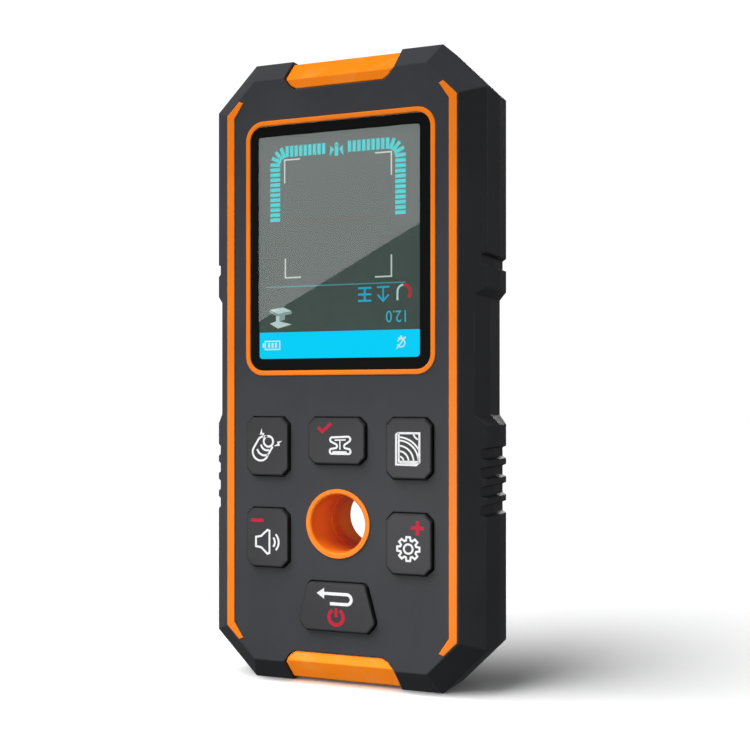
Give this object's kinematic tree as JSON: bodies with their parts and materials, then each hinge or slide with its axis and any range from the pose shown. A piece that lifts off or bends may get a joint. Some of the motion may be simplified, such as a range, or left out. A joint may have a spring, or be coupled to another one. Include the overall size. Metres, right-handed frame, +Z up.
{
  "type": "stud finder",
  "caption": "Hand-held wall scanner standing upright: octagonal casing, display window, keys, through marking hole and orange end bumpers.",
  "frame": {"origin": "bottom centre of the part's box: it stands upright on its two lower corner flats", "axes": "+Z up along the casing, the face with the display looks along -Y, +X to the right of someone facing the display"},
  "size_m": [0.0752, 0.0274, 0.161],
  "materials": {
    "housing_front": "fine moulded texture",
    "housing_rear": "fine moulded texture",
    "orange_plastic": "satin",
    "orange_rubber": "satin",
    "window_clear": "clear, gloss",
    "key_plastic": "satin",
    "felt": "short felt",
    "foam": "foam",
    "display_glass": "gloss",
    "white_plastic": "satin",
    "flex_film": "satin",
    "black_plastic": "matte",
    "circuit_board": "satin lacquer",
    "copper": "enamelled",
    "steel": "nickel plated",
    "battery_can": "printed sleeve"
  },
  "bodies": {
    "casing": {"battery_left": "battery_can", "battery_middle": "battery_can", "battery_right": "battery_can", "battery_springs": "steel", "board_chips": "black_plastic", "board_link": "black_plastic", "board_screws": "steel", "bottom_bumper": "orange_rubber", "button_contacts": "steel", "buzzer": "black_plastic", "case_screws": "steel", "coil_former": "black_plastic", "coil_winding": "copper", "display_gasket": "foam", "front_housing": "housing_front", "front_sleeve": "orange_plastic", "glide_pads": "felt", "lcd_backlight": "white_plastic", "lcd_carrier": "white_plastic", "lcd_glass": "display_glass", "lcd_ribbon": "flex_film", "left_stripe": "orange_plastic", "main_board": "circuit_board", "rear_housing": "housing_rear", "rear_sleeve": "orange_plastic", "ribbon_socket": "black_plastic", "right_stripe": "orange_plastic", "sensor_electrodes": "copper", "sensor_plate": "circuit_board", "spring_contacts": "steel", "switch_bodies": "steel", "top_bumper": "orange_rubber", "window": "window_clear", "window_trim": "orange_plastic"},
    "cable_button": {"cable_key": "key_plastic", "cable_stem": "black_plastic"},
    "metal_button": {"metal_key": "key_plastic", "metal_stem": "black_plastic"},
    "wood_button": {"wood_key": "key_plastic", "wood_stem": "black_plastic"},
    "minus_button": {"minus_key": "key_plastic", "minus_stem": "black_plastic"},
    "plus_button": {"plus_key": "key_plastic", "plus_stem": "black_plastic"},
    "back_button": {"back_key": "key_plastic", "back_stem": "black_plastic"},
    "door": {"battery_door": "housing_rear"}
  },
  "joints": [
    {"name": "cable_press", "type": "slide", "parent": "casing", "child": "cable_button", "axis": [0, 1, 0], "range_m": [0, 0.0006], "stiffness_N_per_m": 400, "springref_m": -0.0005},
    {"name": "metal_press", "type": "slide", "parent": "casing", "child": "metal_button", "axis": [0, 1, 0], "range_m": [0, 0.0006], "stiffness_N_per_m": 400, "springref_m": -0.0005},
    {"name": "wood_press", "type": "slide", "parent": "casing", "child": "wood_button", "axis": [0, 1, 0], "range_m": [0, 0.0006], "stiffness_N_per_m": 400, "springref_m": -0.0005},
    {"name": "minus_press", "type": "slide", "parent": "casing", "child": "minus_button", "axis": [0, 1, 0], "range_m": [0, 0.0006], "stiffness_N_per_m": 400, "springref_m": -0.0005},
    {"name": "plus_press", "type": "slide", "parent": "casing", "child": "plus_button", "axis": [0, 1, 0], "range_m": [0, 0.0006], "stiffness_N_per_m": 400, "springref_m": -0.0005},
    {"name": "back_press", "type": "slide", "parent": "casing", "child": "back_button", "axis": [0, 1, 0], "range_m": [0, 0.0006], "stiffness_N_per_m": 400, "springref_m": -0.0005},
    {"name": "door_swing", "type": "hinge", "parent": "casing", "child": "door", "pos_m": [0, 0.01175, 0.0918], "axis": [-1, 0, 0], "range_deg": [0, 85]}
  ]
}
